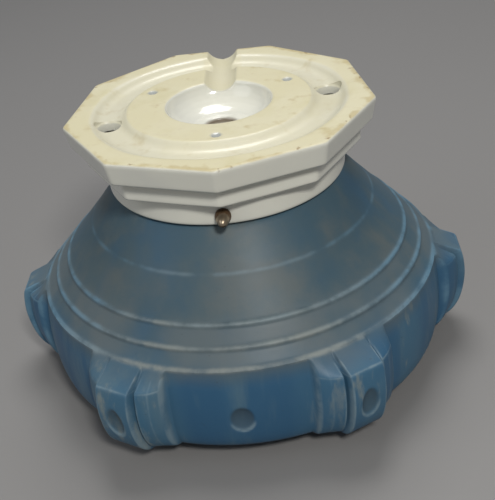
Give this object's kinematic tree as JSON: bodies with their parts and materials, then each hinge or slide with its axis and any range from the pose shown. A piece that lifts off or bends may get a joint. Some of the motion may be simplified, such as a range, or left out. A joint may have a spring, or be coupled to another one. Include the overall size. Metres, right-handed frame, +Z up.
{
  "type": "ceiling light",
  "caption": "Close ceiling light: nine-sided glazed porcelain holder, blue pressed-glass bowl shade with lugs, bullet-headed shade screws, and a screw-base lamp inside.",
  "frame": {"origin": "centre of the porcelain holder's ceiling face", "axes": "+Z up into the ceiling; -Y through the holder's front corner and one shade screw; +Y through the wire notch"},
  "size_m": [0.1918, 0.1736, 0.1152],
  "materials": {
    "porcelain": "white glaze, yellowed and unglazed on the ceiling side's raised faces",
    "socket_porcelain": "white glaze",
    "brass": "stamped and turned",
    "aged_brass": "dark brown with a worn nose",
    "blue_glass": "frosted blue with pale worn edges",
    "steel": "nickel plated",
    "black_glass": "black vitrified glass",
    "bulb_glass": "clear"
  },
  "bodies": {
    "holder": {"porcelain_holder": "porcelain", "screw_bushings": "brass", "socket_body": "socket_porcelain", "socket_inserts": "brass", "socket_screws": "steel", "screw_shell": "brass", "shell_rivets": "brass", "centre_contact": "brass", "contact_rivet": "brass", "live_terminal": "brass", "shell_terminal": "steel", "live_terminal_screw": "brass", "shell_terminal_screw": "steel"},
    "screw_front": {"shade_screw_front": "aged_brass"},
    "screw_right": {"shade_screw_right": "aged_brass"},
    "screw_left": {"shade_screw_left": "aged_brass"},
    "shade": {"glass_shade": "blue_glass"},
    "lamp": {"lamp_tip": "steel", "lamp_insulator": "black_glass", "lamp_cap": "brass", "lamp_bulb": "bulb_glass", "lamp_stem": "bulb_glass", "lamp_leads": "steel", "lamp_supports": "steel", "lamp_filament": "steel"}
  },
  "joints": [
    {"name": "screw_front_slide", "type": "slide", "parent": "holder", "child": "screw_front", "axis": [0, -1, 0], "range_m": [0, 0.005]},
    {"name": "screw_right_slide", "type": "slide", "parent": "holder", "child": "screw_right", "axis": [0.866, 0.5, 0], "range_m": [0, 0.005]},
    {"name": "screw_left_slide", "type": "slide", "parent": "holder", "child": "screw_left", "axis": [-0.866, 0.5, 0], "range_m": [0, 0.005]},
    {"name": "shade_turn", "type": "hinge", "parent": "holder", "child": "shade", "pos_m": [0, 0, -0.025], "axis": [0, 0, 1], "continuous": true},
    {"name": "lamp_turn", "type": "hinge", "parent": "holder", "child": "lamp", "pos_m": [0, 0, -0.04], "axis": [0, 0, 1], "continuous": true}
  ]
}
